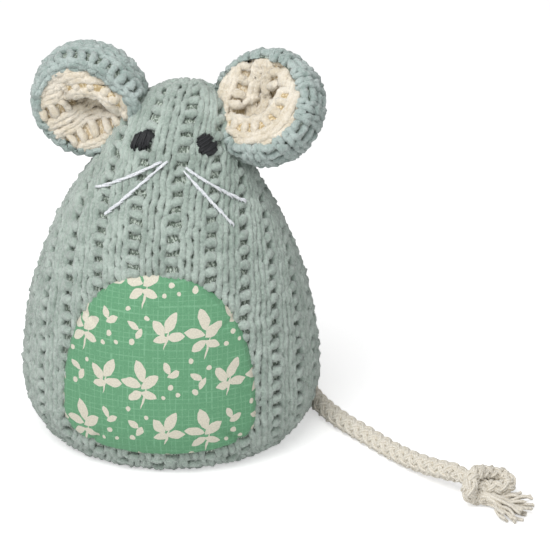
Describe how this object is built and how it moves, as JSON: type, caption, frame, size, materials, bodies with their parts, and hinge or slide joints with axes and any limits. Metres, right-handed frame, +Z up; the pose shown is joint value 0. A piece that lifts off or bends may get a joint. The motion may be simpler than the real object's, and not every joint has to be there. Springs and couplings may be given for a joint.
{
  "type": "catnip mouse",
  "caption": "Stuffed knitted mouse for a cat to bat and carry, with cupped floppy ears, a printed cotton belly, an embroidered face and a knotted rope tail.",
  "frame": {"origin": "middle of the flat base that the mouse sits on", "axes": "+Z up, the face and belly look along -Y, +X to the right when seen from the front"},
  "size_m": [0.1382, 0.1124, 0.1074],
  "materials": {
    "sage_knit": "soft chenille knit, matt with a fine fuzz",
    "ear_knit": "the same chenille knit, a little bluer",
    "cream_knit": "cream chenille knit, matt",
    "printed_cotton": "plain-woven cotton with a cream print on green",
    "black_thread": "satin-stitched embroidery thread",
    "white_thread": "twisted embroidery thread with a slight sheen",
    "cotton_rope": "braided natural cotton, matt",
    "fibre_fill": "loose polyester fibre",
    "dried_catnip": "crumbled dried leaves"
  },
  "bodies": {
    "root": {"body_front": "sage_knit", "body_back": "sage_knit", "base_panel": "sage_knit", "belly_patch": "printed_cotton", "stuffing": "fibre_fill", "catnip_fill": "dried_catnip", "eye_left": "black_thread", "eye_right": "black_thread", "whisker_left_upper": "white_thread", "whisker_left_lower": "white_thread", "whisker_right_upper": "white_thread", "whisker_right_lower": "white_thread", "tail_anchor": "cotton_rope"},
    "ear_left": {"ear_left_back": "ear_knit", "ear_left_lining": "cream_knit"},
    "ear_right": {"ear_right_back": "ear_knit", "ear_right_lining": "cream_knit"},
    "tail": {"tail_rope": "cotton_rope", "tail_knot": "cotton_rope", "tail_fray": "cotton_rope"}
  },
  "joints": [
    {"name": "ear_left_flop", "type": "hinge", "parent": "root", "child": "ear_left", "pos_m": [-0.01262, 0.0028, 0.08725], "axis": [0.6078, 0.0548, 0.7922], "range_deg": [-30, 25], "stiffness_Nm_per_rad": 0.02},
    {"name": "ear_right_flop", "type": "hinge", "parent": "root", "child": "ear_right", "pos_m": [0.01785, 0.00148, 0.08625], "axis": [-0.3463, 0.105, 0.9322], "range_deg": [-25, 30], "stiffness_Nm_per_rad": 0.02},
    {"name": "tail_swing", "type": "hinge", "parent": "root", "child": "tail", "pos_m": [0, 0.03647, 0.005], "axis": [0, 0, 1], "range_deg": [0, 90]}
  ]
}
